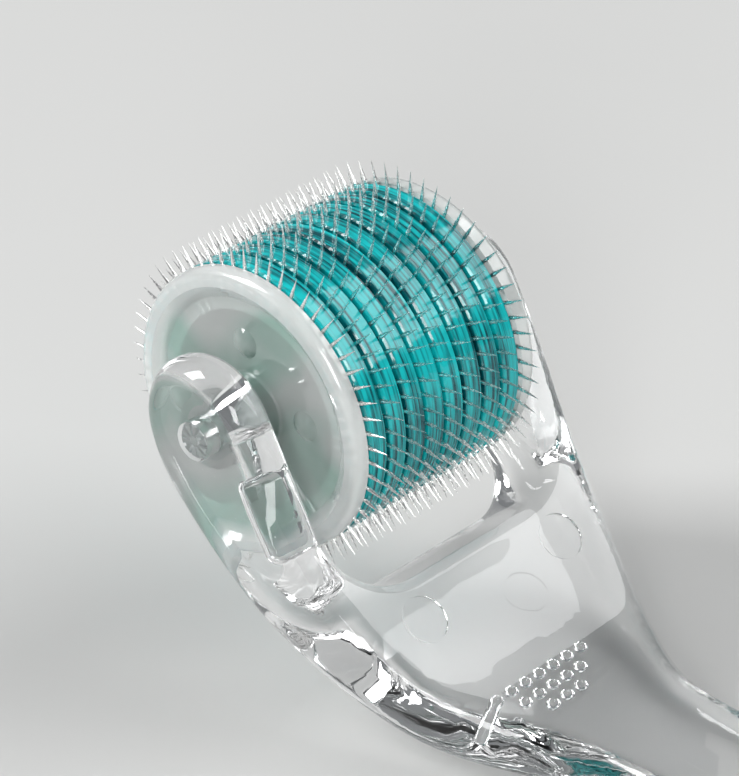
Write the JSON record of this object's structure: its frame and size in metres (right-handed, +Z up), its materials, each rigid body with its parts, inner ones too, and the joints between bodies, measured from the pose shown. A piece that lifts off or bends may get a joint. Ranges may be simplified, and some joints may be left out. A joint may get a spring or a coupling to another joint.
{
  "type": "derma roller",
  "caption": "Micro-needle skin roller: clear forked handle holding a freely rolling drum of teal discs with rows of fine steel needles.",
  "frame": {"origin": "on the table under the middle of the part's length and width, with the roller lying on its underside", "axes": "+X from the needle drum towards the handle's tail, +Y along the drum's axle, +Z up"},
  "size_m": [0.136, 0.0262, 0.0293],
  "materials": {
    "clear_acrylic": "clear polished",
    "teal_disc": "translucent gloss",
    "frosted_cap": "frosted translucent",
    "spindle_plastic": "natural",
    "needle_steel": "bright"
  },
  "bodies": {
    "handle": {"handle": "clear_acrylic"},
    "drum": {"drum_spindle": "spindle_plastic", "left_end_cap": "frosted_cap", "right_end_cap": "frosted_cap", "spacer_disc_1": "teal_disc", "spacer_disc_2": "teal_disc", "spacer_disc_3": "teal_disc", "spacer_disc_4": "teal_disc", "spacer_disc_5": "teal_disc", "spacer_disc_6": "teal_disc", "spacer_disc_7": "teal_disc", "spacer_disc_8": "teal_disc", "needle_row_1": "needle_steel", "needle_row_2": "needle_steel", "needle_row_3": "needle_steel", "needle_row_4": "needle_steel", "needle_row_5": "needle_steel", "needle_row_6": "needle_steel", "needle_row_7": "needle_steel", "needle_row_8": "needle_steel", "needle_row_9": "needle_steel"}
  },
  "joints": [
    {"name": "drum_spin", "type": "hinge", "parent": "handle", "child": "drum", "pos_m": [-0.057, 0, 0.0183], "axis": [0, 1, 0], "continuous": true}
  ]
}
